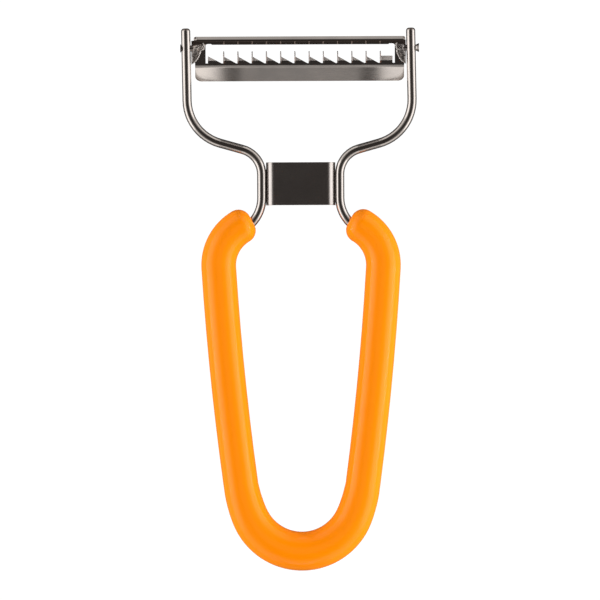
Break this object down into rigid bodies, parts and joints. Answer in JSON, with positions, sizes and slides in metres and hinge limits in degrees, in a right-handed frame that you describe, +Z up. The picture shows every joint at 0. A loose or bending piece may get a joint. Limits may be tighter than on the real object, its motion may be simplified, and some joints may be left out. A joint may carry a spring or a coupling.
{
  "type": "julienne peeler",
  "caption": "Wide-arm julienne peeler: bent stainless wire frame, orange moulded sleeve over its loop, folded neck plate and a swivelling stamped head with folded cutting teeth.",
  "frame": {"origin": "On the surface the peeler lies on, under the middle of its box.", "axes": "X across the peeler, to the right when the head is at the top; Y along it, towards the head; Z up from the surface."},
  "size_m": [0.0796, 0.1808, 0.0116],
  "materials": {
    "polished_wire": "polished round stainless wire",
    "orange_elastomer": "smooth satin moulded elastomer",
    "polished_plate": "polished stainless sheet, sheared edges",
    "stamped_steel": "bright rolled stainless sheet with a ground edge and sheared sides"
  },
  "bodies": {
    "frame": {"wire_frame": "polished_wire", "grip": "orange_elastomer", "neck_plate": "polished_plate"},
    "head": {"blade_head": "stamped_steel"}
  },
  "joints": [
    {"name": "blade_swivel", "type": "hinge", "parent": "frame", "child": "head", "pos_m": [0.00017, 0.08378, 0.0058], "axis": [1, 0, 0], "continuous": true}
  ]
}
